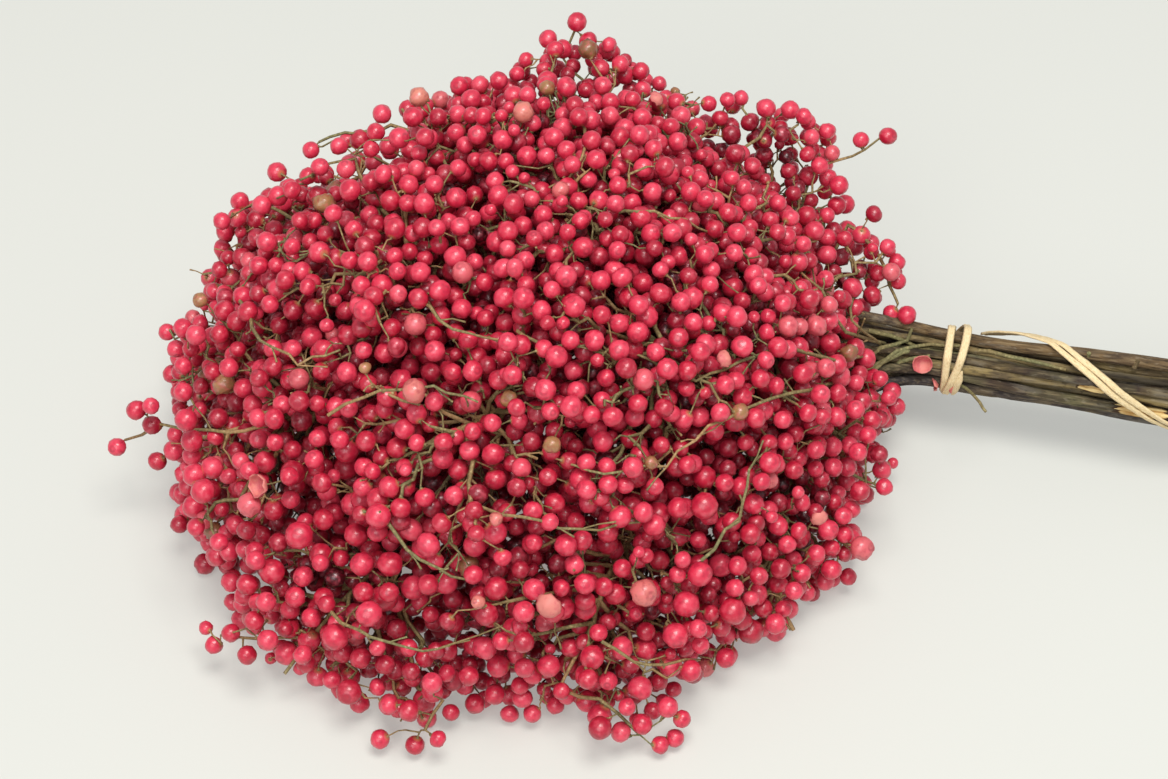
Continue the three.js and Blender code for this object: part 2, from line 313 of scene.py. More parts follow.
def twig_skin():
    twig = Finish("twig_skin", Specular_IOR_Level=0.35)
    age = twig.mark("age")
    # The tone runs from olive and tan to dark brown; towards 1 it is painted shade for twigs deep inside
    # the head.
    colour = twig.ramp(
        age,
        (0.0, paint(114, 112, 74)),
        (0.35, paint(126, 108, 70)),
        (0.6, paint(160, 124, 84)),
        (0.8, paint(92, 76, 50)),
        (1.0, paint(44, 34, 24)),
    )
    mottle = twig.grain(1300, 4.0)
    colour = twig.blend(twig.shape(mottle, 0.5, 0.66) * 0.5, colour, paint(84, 72, 46))
    colour = twig.blend(twig.shape(mottle, 0.46, 0.32) * 0.45, colour, paint(184, 168, 118))
    return twig.finish(colour, 0.62 + mottle * 0.2, mottle, 0.6, 0.0002)


def bark_skin():
    bark = Finish("bark_skin", Specular_IOR_Level=0.3)
    streaks = bark.grain(1500, 5.0, (0.09, 1, 1))
    patches = bark.grain(240, 4.0, (0.3, 1, 1))
    flecks = bark.grain(900, 3.0, (0.4, 1, 1))
    tone = bark.mark("tone")
    colour = bark.ramp(
        tone,
        (0.0, paint(42, 33, 28)),
        (0.2, paint(108, 86, 56)),
        (0.4, paint(62, 57, 58)),
        (0.6, paint(134, 116, 74)),
        (0.8, paint(58, 45, 36)),
        (1.0, paint(116, 112, 76)),
    )
    colour = bark.blend(bark.shape(streaks, 0.5, 0.62) * 0.5, colour, paint(40, 32, 26))
    colour = bark.blend(bark.shape(streaks, 0.46, 0.34) * 0.35, colour, paint(156, 138, 104))
    colour = bark.blend(bark.shape(patches, 0.54, 0.66) * 0.35, colour, paint(126, 120, 108))
    colour = bark.blend(bark.shape(patches, 0.44, 0.34) * 0.4, colour, paint(60, 46, 38))
    colour = bark.blend(bark.shape(flecks, 0.6, 0.68) * 0.25, colour, paint(150, 140, 120))
    colour = bark.blend(bark.shape(flecks, 0.4, 0.34) * 0.45, colour, paint(34, 26, 22))
    wood = bark.blend(bark.shape(streaks, 0.4, 0.6), paint(226, 200, 140), paint(170, 128, 70))
    for spot, long, wide in PEELED_SPOTS:
        scale = (1 / long, 1 / wide, 1 / wide)
        centre = [-part * size for part, size in zip(spot, scale)]
        away = bark.node("ShaderNodeMapping", {}, {
            "Vector": bark.place((1 / MM, 1 / MM, 1 / MM)), "Location": centre, "Scale": scale,
        })
        away = bark.node("ShaderNodeVectorMath", {"operation": "LENGTH"}, {0: away}, output=1)
        edge = away + (streaks - 0.5) * 0.9
        colour = bark.blend(bark.shape(edge, 1.25, 1.15), colour, paint(58, 40, 24))
        colour = bark.blend(bark.shape(edge, 1.05, 0.98), colour, wood)
    colour = bark.blend(bark.mark("cut"), colour, wood)
    # Painted shade in the gaps between the stems.
    colour = bark.blend(bark.mark("crevice") * 0.85, colour, paint(22, 16, 12))
    return bark.finish(colour, 0.72 + streaks * 0.2, streaks + patches, 0.9, 0.0006)


def raffia_skin():
    raffia = Finish("raffia_skin", Specular_IOR_Level=0.4)
    where = raffia.node("ShaderNodeUVMap", {"uv_map": "fibres"})
    where = raffia.node("ShaderNodeMapping", {}, {"Vector": where, "Scale": (14, 0.6, 1)})
    fibres = raffia.grain(3.0, 4.0, where=where)
    colour = raffia.ramp(
        fibres,
        (0.25, paint(176, 142, 88)),
        (0.42, paint(222, 196, 146)),
        (0.6, paint(238, 218, 174)),
        (0.8, paint(246, 232, 198)),
    )
    return raffia.finish(colour, 0.5 + fibres * 0.25, fibres, 0.6, 0.0004)


def shell_skin():
    shell = Finish("papery_skin", Specular_IOR_Level=0.4)
    veins = shell.grain(700, 4.0)
    colour = shell.ramp(
        veins + shell.mark("ripeness") * 0.6,
        (0.3, paint(170, 54, 68)),
        (0.6, paint(192, 86, 94)),
        (0.9, paint(206, 122, 112)),
    )
    return shell.finish(colour, 0.45 + veins * 0.2, veins, 0.5, 0.0002)


BERRY_SKIN = berry_skin()
TWIG_SKIN = twig_skin()
RAFFIA_SKIN = raffia_skin()
SHELL_SKIN = shell_skin()


def show(name, bm, material, slot, *nodes):
    """A finished bmesh, in millimetres, as a piece of the bunch."""
    bm.transform(Matrix.Scale(MM, 4))
    mesh = bpy.data.meshes.new(name)
    bm.to_mesh(mesh)
    bm.free()
    for face in mesh.polygons:
        face.use_smooth = True
    mesh.materials.append(material)
    piece = bpy.data.objects.new(name, mesh)
    bpy.context.scene.collection.objects.link(piece)
    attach(piece, "root")
    if nodes:
        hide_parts(*nodes)
    return piece


# The plan of the bunch.


def draw(a, b):
    """A repeatable draw from 0 to 1 for item a, purpose b."""
    value = math.sin(a * 12.9898 + b * 78.233) * 43758.5453
    return value - math.floor(value)


def smooth(x):
    x = min(max(x, 0), 1)
    return x * x * (3 - 2 * x)


def packed_discs():
    discs = []
    for i in range(STEM_COUNT):
        out = BUNDLE_RADIUS * math.sqrt((i + 0.5) / STEM_COUNT)
        discs.append(Vector((0, out * math.sin(i * GOLDEN_ANGLE), out * math.cos(i * GOLDEN_ANGLE))))
    radii = []
    for i, disc in enumerate(discs):
        gap = min((other - disc).length for other in discs if other is not disc)
        radii.append((gap - CLEAR) / 2 * (0.84 + 0.14 * draw(i, 1)))
    return list(zip(discs, radii))


def bundled(disc, along):
    """Where a stem passes a place along the twisted, flaring bundle, and how thick it is there."""
    middle, radius = disc
    share = along / STEM_LENGTH
    wider = 1 + BUNDLE_FLARE * share
    turned = Matrix.Rotation(BUNDLE_TWIST * share, 3, "X") @ middle * wider
    return NECK + Vector((along, turned.y, turned.z)), radius * wider


def in_head(direction, share, lowest):
    origin = Vector([(HEART[k] - HEAD_MIDDLE[k]) / HEAD_HALF[k] for k in range(3)])
    along = Vector([direction[k] / HEAD_HALF[k] for k in range(3)])
    a, b = along.dot(along), origin.dot(along)
    reach = (-b + math.sqrt(b * b - a * (origin.dot(origin) - 1))) / a
    point = HEART + direction * reach * share
    point.z = max(point.z, lowest)
    return point


def headed(spread, turn):
    return Vector((
        -math.cos(spread), math.sin(spread) * math.sin(turn), math.sin(spread) * math.cos(turn)
    ))


def shift_at(x):
    shift = (HEART - NECK) * smooth((NECK.x - x) / (NECK.x - HEART.x))
    return Vector((0, shift.y, shift.z))


class Route:
    """One cut stem and the line that it and its spray follow, from the neck to the tip."""

    def __init__(self, disc, i):
        share = (i + 0.5) / STEM_COUNT
        direction = headed(math.acos(1 - share * (1 - math.cos(WIDEST_SPREAD))), i * GOLDEN_ANGLE)
        tip = in_head(direction, 0.93 + 0.07 * draw(i, 2), LOWEST_TIP)
        neck = bundled(disc, 0)[0]
        end = tip - shift_at(tip.x)
        self.length = (end - neck).length
        bend = neck + (neck - bundled(disc, 10)[0]).normalized() * self.length * 0.42
        arrive = end - direction * self.length * 0.34
        self.axis = []
        for k in range(AXIS_STEPS + 1):
            t = k / AXIS_STEPS
            point = (
                neck * (1 - t) ** 3 + bend * 3 * t * (1 - t) ** 2
                + arrive * 3 * t * t * (1 - t) + end * t ** 3
            )
            self.axis.append(point + shift_at(point.x))
        self.number = i + 1
        self.disc = disc
        self.cut = STEM_LENGTH * (1 - 0.16 * draw(i, 3))

    def along(self, share):
        place = share * AXIS_STEPS
        before = min(int(place), AXIS_STEPS - 1)
        return self.axis[before].lerp(self.axis[before + 1], place - before)

    def nearest(self, point, first=SPRAY_STEP):
        """How far a point is from the line, and the step that is nearest."""
        return min(((self.axis[k] - point).length, k) for k in range(first, AXIS_STEPS + 1))


routes = [Route(disc, i) for i, disc in enumerate(packed_discs())]


# The berries' places.


class Crowd:
    """The berries placed so far, found by where they are."""

    CELL = 8

    def __init__(self):
        self.cells = {}
        self.berries = []

    def cell(self, point):
        return tuple(math.floor(part / self.CELL) for part in point)

    def fits(self, point, radius, squeeze=0.97):
        x, y, z = self.cell(point)
        for i in (x - 1, x, x + 1):
            for j in (y - 1, y, y + 1):
                for k in (z - 1, z, z + 1):
                    for other in self.cells.get((i, j, k), ()):
                        if (other["at"] - point).length < (other["radius"] + radius) * squeeze:
                            return False
        return True

    def cover(self, point):
        """How many berries lie close over a point, towards the outside of the head."""
        outwards = (point - HEART).normalized()
        x, y, z = self.cell(point + outwards * 4)
        count = 0
        for i in (x - 1, x, x + 1):
            for j in (y - 1, y, y + 1):
                for k in (z - 1, z, z + 1):
                    for other in self.cells.get((i, j, k), ()):
                        away = other["at"] - point
                        if away.length < 13 and away.dot(outwards) > 0.72 * away.length:
                            count += away.length > 0.1
        return count

    def add(self, point, radius, route, kind):
        berry = {"at": point, "radius": radius, "route": route, "kind": kind}
        self.cells.setdefault(self.cell(point), []).append(berry)
        self.berries.append(berry)


chance = random.Random(17)
crowd = Crowd()


def nearest_route(point):
    return min(routes, key=lambda route: route.nearest(point)[0])


def berry_size(point):
    if chance.random() < 0.05:
        return chance.uniform(1.7, 2.3)
    size = chance.uniform(*BERRY)
    if point.y < -50 and point.z < 70 and chance.random() < 0.45:
        size *= chance.uniform(1.08, 1.28)
    return size


def try_berry(point, route=None, kind="round", squeeze=0.97):
    radius = berry_size(point)
    point.z = max(point.z, radius * (1 + 0.02 * chance.random()))
    if not is_inside(point) or not crowd.fits(point, radius, squeeze):
        return False
    if kind == "round" and chance.random() < 0.97 and not in_outline(seen_at(point)):
        return False
    if kind != "sprig" and point.x > 36 and (Vector((0, point.y - NECK.y, point.z - NECK.z))).length < 15:
        return False
    crowd.add(point, radius, route or nearest_route(point), kind)
    return True


# Sprigs that stand out of the head: each is a row of places in the picture from its root to its
# tip, and the places of its berries.
SPRIGS = [
    ([(600, 130), (585, 80), (560, 55), (575, 30)],
     [(577, 22), (548, 39), (588, 41), (563, 49), (609, 45), (594, 60), (548, 62), (526, 60),
      (517, 74), (573, 66), (641, 71), (625, 75)]),
    ([(800, 200), (820, 165), (850, 155), (880, 138)],
     [(888, 136), (861, 140), (832, 153), (827, 131), (808, 122), (812, 150)]),
    ([(770, 170), (762, 140), (745, 110), (740, 98)],
     [(741, 98), (768, 109), (790, 110), (780, 128), (750, 122), (758, 138)]),
    ([(240, 430), (210, 430), (160, 425), (125, 440)],
     [(136, 410), (151, 406), (117, 447), (152, 425), (183, 392), (186, 420)]),
    ([(300, 640), (260, 640), (225, 635)],
     [(206, 628), (231, 633), (214, 645), (254, 621), (266, 602), (247, 655), (268, 640)]),
    ([(420, 690), (440, 700), (425, 730)],
     [(380, 739), (415, 745), (438, 739), (409, 711), (389, 705), (432, 683)]),
    ([(560, 690), (600, 700), (640, 735)],
     [(660, 745), (621, 732), (642, 724), (600, 728), (675, 738), (682, 719), (668, 707), (627, 707)]),
    ([(840, 470), (865, 480), (885, 490)],
     [(860, 491), (884, 487), (893, 463), (879, 454), (868, 435), (882, 470), (858, 452)]),
    ([(846, 226), (868, 242), (884, 258), (890, 284), (898, 304)],
     [(907, 315), (891, 313), (874, 214), (861, 235), (889, 251), (897, 262), (884, 266), (898, 281),
      (872, 295)]),
    ([(300, 222), (276, 208), (248, 206), (232, 214)],
     [(240, 201), (222, 221), (237, 218), (262, 205), (278, 196), (292, 190)]),
    ([(445, 165), (430, 130), (388, 126), (367, 134), (346, 133), (319, 142)],
     [(311, 150), (339, 146), (371, 149), (376, 132), (382, 114), (399, 138), (413, 117), (425, 137)]),
    ([(380, 205), (363, 185), (354, 162), (330, 162), (300, 180)],
     [(320, 167), (308, 176), (346, 169), (290, 187), (277, 172), (350, 190), (371, 182)]),
    ([(240, 500), (214, 500), (206, 515), (212, 530)],
     [(196, 527), (219, 542), (203, 491), (194, 475), (212, 468)]),
    ([(190, 350), (180, 335), (170, 330)],
     [(167, 332), (183, 328), (176, 349), (196, 335), (183, 366), (191, 349)]),
]


def sprig_paths():
    paths = []
    for places, berries in SPRIGS:
        path = [in_picture(across, down, -0.12 + 0.12 * k / (len(places) - 1))
                for k, (across, down) in enumerate(places)]
        route = nearest_route(path[0])
        sprig = {"path": path, "route": route, "berries": []}
        for across, down in berries:
            if try_berry(in_picture(across, down, chance.uniform(-0.03, 0.03)), route, "sprig", 0.8):
                sprig["berries"].append(crowd.berries[-1])
        paths.append(sprig)
    return paths


# Small dry fruit and one cut berry, at their places of the picture, with their sizes.
ODD_ONES = [
    (419, 97, 3.1, 0.13), (547, 88, 2.4, 0.06), (675, 92, 1.6, 0.05), (552, 445, 2.5, 0.07),
    (740, 412, 2.4, 0.06), (651, 463, 1.9, 0.05), (478, 602, 1.9, 0.15), (365, 368, 1.7, 0.08),
    (200, 300, 2.2, 0.07), (523, 112, 3.2, 0.14), (414, 391, 3.3, 0.16), (496, 519, 1.9, 0.15),
    (249, 505, 3.4, 0.22), (862, 548, 3.6, 0.2), (816, 326, 3.2, 0.22), (644, 593, 3.8, 0.17),
]


def odd_berries():
    for across, down, size, ripeness in ODD_ONES:
        point = in_picture(across, down, 0.01)
        route = nearest_route(point)
        crowd.add(point, size, route, "round")
        crowd.berries[-1]["given"] = ripeness


def skin_berries():
    """Berries at the skin of the solid clusters, the larger faces drawn more often."""
    faces, areas = [], []
    for route in routes:
        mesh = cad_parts[f"spray_{route.number:02d}"].data
        for face in mesh.polygons:
            corners = [mesh.vertices[v].co / MM for v in face.vertices]
            faces.append((route, corners, Vector(face.normal)))
            areas.append(face.area)
    for route, corners, normal in chance.choices(faces, areas, k=SKIN_TRIES):
        a, b = sorted((chance.random(), chance.random()))
        point = corners[0] * a + corners[1] * (b - a) + corners[2] * (1 - b)
        if noise.noise(point * 0.085) > 0.2:
            continue
        try_berry(point + normal * chance.uniform(-3.5, 0.6), route)


def fill_berries():
    """Berries between the clusters, so that the head closes."""
    for k in range(FILL_TRIES):
        direction = headed(math.acos(chance.uniform(-1, 1)), chance.uniform(0, 2 * math.pi))
        bump = 0.5 + noise.noise(direction * 3.1) + 0.5 * noise.noise(direction * 7.3)
        share = chance.uniform(0.62, 0.9 + 0.08 * min(max(bump, 0), 1))
        try_berry(in_head(direction, share, 2.8))


def deep_berries():
    for k in range(DEEP_TRIES):
        direction = headed(math.acos(chance.uniform(-1, 0.9)), chance.uniform(0, 2 * math.pi))
        try_berry(in_head(direction, chance.uniform(0.25, 0.62), 3), None, "deep")
    for k in range(DEEP_TRIES * 3):
        turn, out = chance.uniform(0, 2 * math.pi), 0.89 * math.sqrt(chance.random())
        low = Vector((HEAD_HALF.x * out * math.cos(turn), HEAD_HALF.y * out * math.sin(turn), 0))
        try_berry(HEAD_MIDDLE + low + Vector((0, 0, chance.uniform(3, 32))), None, "deep")


def lobe_berries():
    """Berries where the head's outline in the picture swells past the plain dome."""
    for k in range(LOBE_TRIES):
        across, down = chance.uniform(500, 905), chance.uniform(40, 420)
        if not in_outline((across, down)):
            continue
        point = in_picture(across, down, chance.uniform(-0.05, 0.0))
        if outwards_of(point) > 0.97:
            try_berry(point + BACK * chance.uniform(-13, 9))


odd_berries()
sprigs = sprig_paths()
for route in routes:
    try_berry(route.axis[-1].copy(), route)
skin_berries()
lobe_berries()
fill_berries()
deep_berries()


# The twigs: each carries a few berries that lie close together, and grows from a spray's stalk.


def grouped(berries):
    """Berries of one spray in groups that lie close together."""
    left = sorted(berries, key=lambda berry: -(berry["at"] - HEART).length)
    groups = []
    while left:
        first = left.pop(0)
        left.sort(key=lambda berry: (berry["at"] - first["at"]).length)
        near = [berry for berry in left[: BERRIES_ON_TWIG - 1]
                if (berry["at"] - first["at"]).length < 17]
        groups.append([first, *near])
        left = [berry for berry in left if berry not in near]
        left.sort(key=lambda berry: -(berry["at"] - HEART).length)
    return groups


class Limbs:
    """Round limbs through points, gathered as one curve."""

    def __init__(self, name, sides):
        self.curve = bpy.data.curves.new(name, "CURVE")
        self.curve.dimensions = "3D"
        self.curve.bevel_depth = 1
        self.curve.bevel_resolution = sides
        self.curve.use_fill_caps = True

    def add(self, points, radii, kind="POLY"):
        spline = self.curve.splines.new(kind)
        if kind == "POLY":
            spline.points.add(len(points) - 1)
            for place, point, radius in zip(spline.points, points, radii):
                place.co = (*point, 1)
                place.radius = radius
            return
        spline.bezier_points.add(len(points) - 1)
        for place, point, radius in zip(spline.bezier_points, points, radii):
            place.co = point
            place.radius = radius
            place.handle_left_type = place.handle_right_type = "AUTO"

    def bmesh(self):
        """The limbs as a bmesh."""
        holder = bpy.data.objects.new(self.curve.name, self.curve)
        bpy.context.scene.collection.objects.link(holder)
        mesh = holder.to_mesh()
        bm = bmesh.new()
        bm.from_mesh(mesh)
        holder.to_mesh_clear()
        bpy.data.objects.remove(holder)
        bpy.data.curves.remove(self.curve)
        return bm


def bent(start, end, sag):
    """The middle of a short limb, off its straight line."""
    return start.lerp(end, 0.55) + sag


def wander(size):
    return Vector((chance.uniform(-1, 1), chance.uniform(-1, 1), chance.uniform(-1, 1))) * size


def berry_on(limbs, node, berry):
    """The stalk from a place on a twig to its berry, which then faces away from it."""
    at, radius = berry["at"], berry["radius"]
    middle = bent(node, at, wander(0.14 * (at - node).length))
    way = (at - middle).normalized()
    berry["axis"] = (way + wander(0.25)).normalized()
    foot = at - berry["axis"] * radius * 0.9
    places, radii = [node, middle, foot - berry["axis"] * 0.5, foot], [0.32, 0.25, 0.3, 0.64]
    if (at - node).length > 8:
        places.insert(1, node.lerp(middle, 0.5) + wander(0.09 * (at - node).length))
        radii.insert(1, 0.28)
    limbs.add(places, radii)
    return middle


def twig_of(limbs, route, group):
    """A zigzag twig from the stalk through a group, with a short stalk to each berry."""
    middle = sum((berry["at"] for berry in group), Vector()) / len(group)
    far, step = route.nearest(middle, SPRAY_STEP + 1)
    back = round(0.5 * far * AXIS_STEPS / route.length)
    root = route.axis[max(SPRAY_STEP, step - back)]
    outwards = (middle - root).normalized()
    group.sort(key=lambda berry: (berry["at"] - root).dot(outwards))
    reach = max((group[-1]["at"] - root).dot(outwards) - 4, 1)
    over = (middle - HEART).normalized() * (chance.uniform(2.5, 4) if chance.random() < 0.55 else 0)
    nodes, radii = [root.copy()], [0.85]
    for share in (0.3, 0.55):
        if reach > 14:
            nodes.append(root + (middle - root) * share + wander(0.05 * reach))
            radii.append(0.8 - 0.25 * share)
    stalks = []
    for k, berry in enumerate(group):
        away = (berry["at"] - root).dot(outwards)
        start = min(max(away - 5.5, reach * 0.35), reach)
        on_line = root + outwards * start
        aside = (berry["at"] - on_line) - outwards * (berry["at"] - on_line).dot(outwards)
        node = on_line + aside * (0.3 if k % 2 else 0.16) + over
        if (node - nodes[-1]).dot(outwards) > 0.8:
            nodes.append(node)
            radii.append(max(0.62 - 0.22 * k / len(group), 0.38))
        stalks.append((nodes[-1], berry))
    limbs.add(nodes, radii)
    forks = []
    for node, berry in stalks:
        fork = min([node, *forks], key=lambda place: (place - berry["at"]).length)
        forks.append(berry_on(limbs, fork, berry))
    for node in nodes[2:]:
        if chance.random() < 0.45:
            way = (node - HEART).normalized() + wander(0.8)
            stub = node + way * chance.uniform(1.5, 4)
            if is_inside(stub):
                limbs.add([node, node.lerp(stub, 0.5) + wander(0.4), stub], [0.26, 0.22, 0.36])


def sprig_of(limbs, sprig):
    """A sprig that stands out of the head, zigzag between the places of the picture."""
    path = sprig["path"]
    route = sprig["route"]
    far, step = route.nearest(path[0])
    nodes = [route.axis[max(SPRAY_STEP, step - 4)], *path]
    fine = []
    for k in range(len(nodes) - 1):
        for share in (0, 0.5):
            fine.append(nodes[k].lerp(nodes[k + 1], share) + wander(0.9))
    fine.append(nodes[-1])
    limbs.add(fine, [0.75 - 0.35 * k / len(fine) for k in range(len(fine))])
    forks = fine[2:]
    for berry in sorted(sprig["berries"], key=lambda berry: (berry["at"] - path[-1]).length):
        fork = min(forks, key=lambda place: (place - berry["at"]).length)
        forks.append(berry_on(limbs, fork, berry))


def ball(sides, rings):
    """A berry of radius 1, its tip at +Z."""
    bm = bmesh.new()
    bmesh.ops.create_uvsphere(bm, u_segments=sides, v_segments=rings, radius=1)
    mesh = bpy.data.meshes.new(f"ball_{sides}")
    bm.to_mesh(mesh)
    bm.free()
    return mesh


# The outer berries are round, and those behind them have fewer faces.
BALLS = {"outer": ball(12, 8), "inner": ball(8, 6), "deep": ball(6, 4)}


def ball_of(berry):
    out, cover = outwards_of(berry["at"]), berry["cover"]
    if cover < 2 and out > 0.82 or cover < 4 and out > 0.93:
        return "outer"
    return "inner" if cover < 4 and out > 0.7 else "deep"


def add_berry(bm, berry):
    """One berry, a little out of round and turned its own way."""
    at, radius, axis = berry["at"], berry["radius"], berry["axis"]
    turn = axis.to_track_quat("Z", "Y").to_matrix().to_4x4()
    turn = turn @ Matrix.Rotation(chance.uniform(0, 6), 4, "Z")
    ripe = chance.random()
    if "given" in berry:
        berry["ripeness"], berry["rough"] = berry["given"], 0.08
    # Berries with others close over them are painted darker: painted shade.
    elif berry["cover"] > 1:
        painted_shade = 0.74 + 0.05 * berry["cover"] + chance.uniform(-0.1, 0.04)
        berry["ripeness"], berry["rough"] = min(painted_shade, 1), 0.02
    elif ripe < 0.01:
        berry["ripeness"], berry["rough"] = chance.uniform(0, 0.1), 0.16
    elif ripe < 0.035:
        berry["ripeness"], berry["rough"] = chance.uniform(0.18, 0.28), 0.02
    else:
        berry["ripeness"], berry["rough"] = chance.uniform(0.28, 0.88), chance.uniform(0.02, 0.06)
    berry["long"] = chance.uniform(0.9, 1.0)
    berry["dimple"] = chance.uniform(0.02, 0.16)
    stretch = Matrix.Diagonal((
        radius * chance.uniform(0.95, 1.03), radius * chance.uniform(0.95, 1.03),
        radius * berry["long"], 1,
    ))
    copy = BALLS[ball_of(berry)].copy()
    copy.transform(Matrix.Translation(at) @ turn @ stretch)
    bm.from_mesh(copy)
    bpy.data.meshes.remove(copy)


def mark_berries(bm, berries):
    """The ripeness with its painted shade, the tip and the small unevenness of each berry, in the order
    they were added.
    """
    ripeness, tip = bm.verts.layers.float.new("ripeness"), bm.verts.layers.float.new("tip")
    verts = iter(bm.verts)
    for berry in berries:
        at, radius, axis = berry["at"], berry["radius"], berry["axis"]
        kind = ball_of(berry)
        for _ in BALLS[kind].vertices:
            vert = next(verts)
            height = (vert.co - at).dot(axis) / (radius * berry["long"])
            vert[ripeness] = berry["ripeness"]
            vert[tip] = height
            if height > 0.985 and kind == "outer":
                vert.co -= axis * radius * berry["dimple"]
            vert.co += (vert.co - at) * berry["rough"] * noise.noise(vert.co * 0.55) * 2
            vert.co.z = max(vert.co.z, 0.02)


# Long twigs that lie over the berries: the places of the picture that they pass.
RUNNERS = [
    [(885, 352), (838, 362), (790, 348), (742, 362), (694, 378), (648, 362), (606, 338)],
    [(880, 366), (808, 392), (762, 402), (708, 428), (664, 466), (606, 472), (560, 462)],
    [(328, 412), (380, 390), (432, 386), (478, 402)],
    [(470, 502), (522, 520), (580, 532), (640, 522)],
    [(574, 98), (584, 124), (582, 160), (560, 184)],
    [(598, 216), (640, 208), (682, 218), (722, 240)],
    [(516, 330), (548, 348), (592, 344), (620, 360)],
    [(330, 612), (372, 640), (420, 650), (470, 640)],
    [(846, 236), (856, 280), (850, 322), (884, 348)],
    [(884, 344), (846, 330), (820, 290), (790, 262)],
    [(700, 560), (740, 520), (748, 470), (770, 440)],
    [(420, 300), (450, 330), (500, 340)],
    [(240, 300), (262, 340), (300, 362), (340, 350)],
    [(600, 640), (650, 668), (700, 660)],
    [(700, 300), (724, 330), (730, 372)],
    [(386, 520), (420, 560), (470, 580)],
]


def add_runner(limbs, places):
    """A long twig over the berries, both its ends under them, with stubs where it zigzags."""
    last = len(places) - 1
    nodes = []
    for k, (across, down) in enumerate(places):
        nodes.append(in_picture(across, down, chance.uniform(-0.02, 0.012) if 0 < k < last else -0.06))
    fine = []
    for k in range(last):
        for share in (0, 0.34, 0.67):
            fine.append(nodes[k].lerp(nodes[k + 1], share) + wander(0.8))
    fine.append(nodes[-1])
    limbs.add(fine, [0.62 - 0.28 * k / len(fine) for k in range(len(fine))])
    for k in range(2, len(fine) - 1, 2):
        away = (fine[k + 1] - fine[k]).normalized() + wander(0.9)
        tip = fine[k] + away * chance.uniform(3, 7)
        limbs.add([fine[k], fine[k].lerp(tip, 0.5) + wander(0.5), tip], [0.3, 0.24, 0.36])


def build_sprays():
    for route in routes:
        berries = [berry for berry in crowd.berries if berry["route"] is route]
        limbs = Limbs(f"twigs_{route.number:02d}", 0)
        loose = [berry for berry in berries if berry["kind"] == "round"]
        for group in grouped(loose):
            twig_of(limbs, route, group)
        for sprig in sprigs:
            if sprig["route"] is route:
                sprig_of(limbs, sprig)
        for places in RUNNERS:
            if nearest_route(in_picture(*places[0])) is route:
                add_runner(limbs, places)
        stalk = [route.axis[k] for k in range(SPRAY_STEP, AXIS_STEPS + 1)]
        thick = [1.35 - 0.75 * k / (len(stalk) - 1) for k in range(len(stalk))]
        limbs.add([point + wander(0.35) for point in stalk[:-1]] + stalk[-1:], thick)
        bm = limbs.bmesh()
        age = bm.verts.layers.float.new("age")
        for vert in bm.verts:
            # Twigs deeper in the head than its skin are painted darker: painted shade.
            deep = 0.93 - outwards_of(vert.co)
            vert[age] = 0.3 + 0.6 * noise.noise(vert.co * 0.05) + 2.2 * max(deep, 0)
            vert.co.z = max(vert.co.z, 0.05)
        number = f"{route.number:02d}"
        show(f"twigs_{number}", bm, TWIG_SKIN, "twig", f"spray_{number}")

        bm = bmesh.new()
        for berry in berries:
            berry.setdefault("axis", (berry["at"] - HEART).normalized())
            berry["cover"] = crowd.cover(berry["at"])
            add_berry(bm, berry)
        mark_berries(bm, berries)
        show(f"berries_{number}", bm, BERRY_SKIN, "berry", f"spray_{number}")


build_sprays()


# The stems.


def stem_path(route):
    """Places and radii along a stem, from its cut end to where its spray starts."""
    stout = 0.95 + 0.55 * draw(route.number, 31) ** 1.5
    stations = []
    for k in range(BUNDLE_STEPS + FAN_STEPS + 1):
        if k <= BUNDLE_STEPS:
            point, radius = bundled(route.disc, route.cut * (1 - k / BUNDLE_STEPS))
        else:
            share = (k - BUNDLE_STEPS) / FAN_STEPS
            point, radius = route.along(share * SPRAY_STARTS), route.disc[1] * (1 - 0.3 * share)
        bow = noise.noise_vector(Vector((point.x * 0.022, route.number * 5.3, 0))) * 2.0
        bow.x = 0
        stations.append((point + bow * smooth(k / 12), radius * stout))
    return stations


BUNDLE_STEPS, FAN_STEPS = 64, 30
STEM_PATHS = {route.number: stem_path(route) for route in routes}
SEEN_STATIONS = [(seen_at(middle), middle, radius)
                 for path in STEM_PATHS.values() for middle, radius in path]


def on_bundle(across, down):
    """The first point of the bundle, from the eye, that is seen at a place of the picture."""
    side = (across - PICTURE[0] / 2) / FOCUS
    rise = (PICTURE[1] / 2 - down) / FOCUS
    sight = RIGHT * side + UP * rise - BACK
    near = [(middle, radius) for (x, y), middle, radius in SEEN_STATIONS
            if abs(x - across) < 16 and abs(y - down) < 16]
    for step in range(140):
        point = EYE + sight * (718 + step * 0.5)
        if any((middle - point).length < radius + 0.4 for middle, radius in near):
            return point
    return EYE + sight * 750


# Where bark is peeled off in the picture, and each patch's half length and half width.
PEELED = [(1090, 391, 4.5, 1.9), (1138, 411, 7.5, 2.6)]


def on_stem(across, down):
    """The near side of the stem that is seen at a place of the picture."""
    near = [(middle, radius) for (x, y), middle, radius in SEEN_STATIONS
            if abs(x - across) < 8 and abs(y - down) < 6]
    middle, radius = max(near, key=lambda station: station[0].dot(BACK) + station[1])
    return middle + BACK * radius


PEELED_SPOTS = [(on_stem(across, down), long, wide) for across, down, long, wide in PEELED]
BARK_SKIN = bark_skin()


def crevice_at(point, number, k):
    """How deep a place of a stem's bark is in the gap to the next stem, from 0 to 1, for the painted shade
    there.
    """
    gap = 9
    for other, path in STEM_PATHS.items():
        if other == number:
            continue
        near = k
        if k <= BUNDLE_STEPS:
            cut = path[0][0].x - NECK.x
            near = round(BUNDLE_STEPS * (1 - (point.x - NECK.x) / cut))
            if near < 0:
                continue
        middle, radius = path[min(near, len(path) - 1)]
        aside = Vector((0, point.y - middle.y, point.z - middle.z))
        gap = min(gap, aside.length - radius)
    return 1 - smooth(gap / 1.5)


